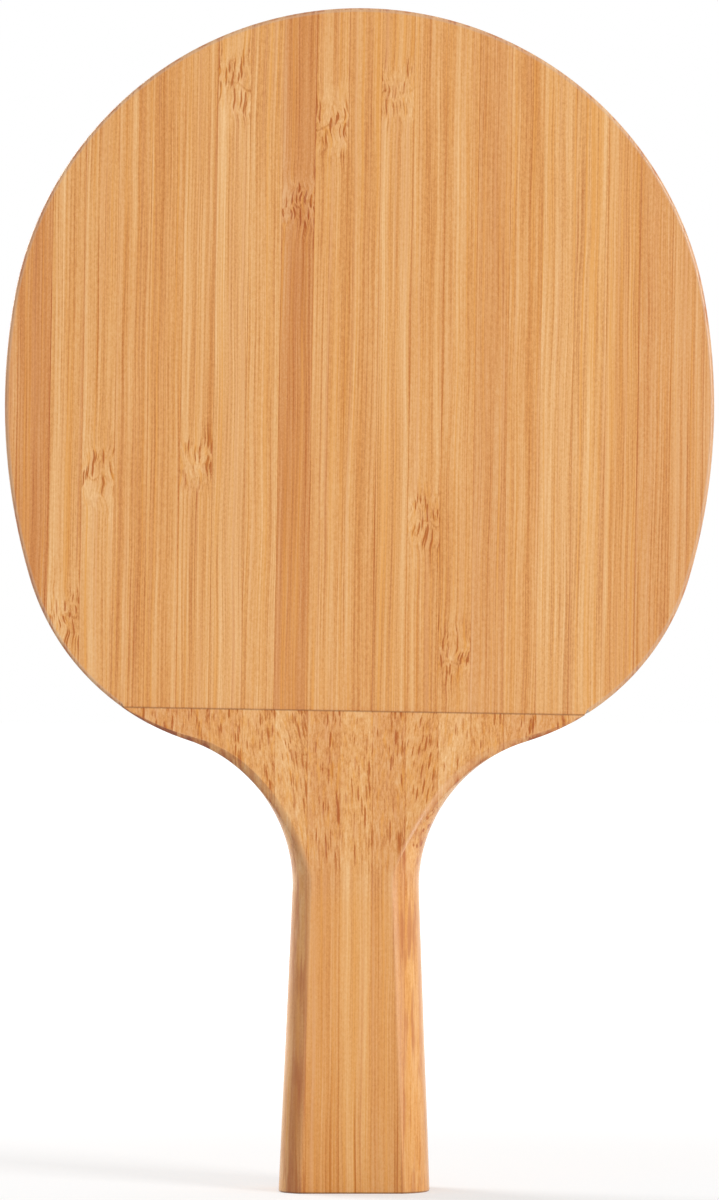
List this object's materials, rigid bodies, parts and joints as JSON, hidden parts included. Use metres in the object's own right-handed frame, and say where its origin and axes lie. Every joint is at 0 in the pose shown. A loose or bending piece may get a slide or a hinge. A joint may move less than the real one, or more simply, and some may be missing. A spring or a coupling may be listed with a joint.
{
  "type": "table tennis racket",
  "caption": "Bare bamboo table tennis bat: a flat oval head and a flared handle, glued up from upright strips, with a ramp on each side where the handle meets the head.",
  "frame": {"origin": "middle of the butt's bounding box at the floor, with the bat standing on its butt", "axes": "+Z from the butt up to the crown of the head, -Y out of the front face, +X to the right as seen from the front"},
  "size_m": [0.15, 0.0234, 0.25],
  "materials": {
    "bamboo_pale": "satin lacquer",
    "bamboo_honey": "satin lacquer",
    "bamboo_golden": "satin lacquer",
    "bamboo_tan": "satin lacquer",
    "bamboo_brown": "satin lacquer"
  },
  "bodies": {
    "root": {"blade_strip_01": "bamboo_tan", "blade_strip_02": "bamboo_brown", "blade_strip_03": "bamboo_honey", "blade_strip_04": "bamboo_honey", "blade_strip_05": "bamboo_golden", "blade_strip_06": "bamboo_golden", "blade_strip_07": "bamboo_honey", "blade_strip_08": "bamboo_pale", "blade_strip_09": "bamboo_honey", "blade_strip_10": "bamboo_brown", "blade_strip_11": "bamboo_golden", "blade_strip_12": "bamboo_golden", "blade_strip_13": "bamboo_honey", "blade_strip_14": "bamboo_golden", "blade_strip_15": "bamboo_golden", "blade_strip_16": "bamboo_tan", "blade_strip_17": "bamboo_golden", "blade_strip_18": "bamboo_pale", "blade_strip_19": "bamboo_pale", "blade_strip_20": "bamboo_golden", "blade_strip_21": "bamboo_tan", "blade_strip_22": "bamboo_tan", "blade_strip_23": "bamboo_tan", "front_handle_strip_01": "bamboo_tan", "front_handle_strip_02": "bamboo_tan", "front_handle_strip_03": "bamboo_tan", "front_handle_strip_04": "bamboo_golden", "front_handle_strip_05": "bamboo_honey", "front_handle_strip_06": "bamboo_pale", "front_handle_strip_07": "bamboo_tan", "front_handle_strip_08": "bamboo_honey", "front_handle_strip_09": "bamboo_tan", "front_handle_strip_10": "bamboo_golden", "front_handle_strip_11": "bamboo_pale", "front_handle_strip_12": "bamboo_golden", "front_handle_strip_13": "bamboo_tan", "front_handle_strip_14": "bamboo_tan", "front_handle_strip_15": "bamboo_tan", "back_handle_strip_01": "bamboo_tan", "back_handle_strip_02": "bamboo_tan", "back_handle_strip_03": "bamboo_tan", "back_handle_strip_04": "bamboo_golden", "back_handle_strip_05": "bamboo_honey", "back_handle_strip_06": "bamboo_pale", "back_handle_strip_07": "bamboo_tan", "back_handle_strip_08": "bamboo_honey", "back_handle_strip_09": "bamboo_tan", "back_handle_strip_10": "bamboo_golden", "back_handle_strip_11": "bamboo_pale", "back_handle_strip_12": "bamboo_golden", "back_handle_strip_13": "bamboo_tan", "back_handle_strip_14": "bamboo_tan", "back_handle_strip_15": "bamboo_tan"}
  },
  "joints": []
}
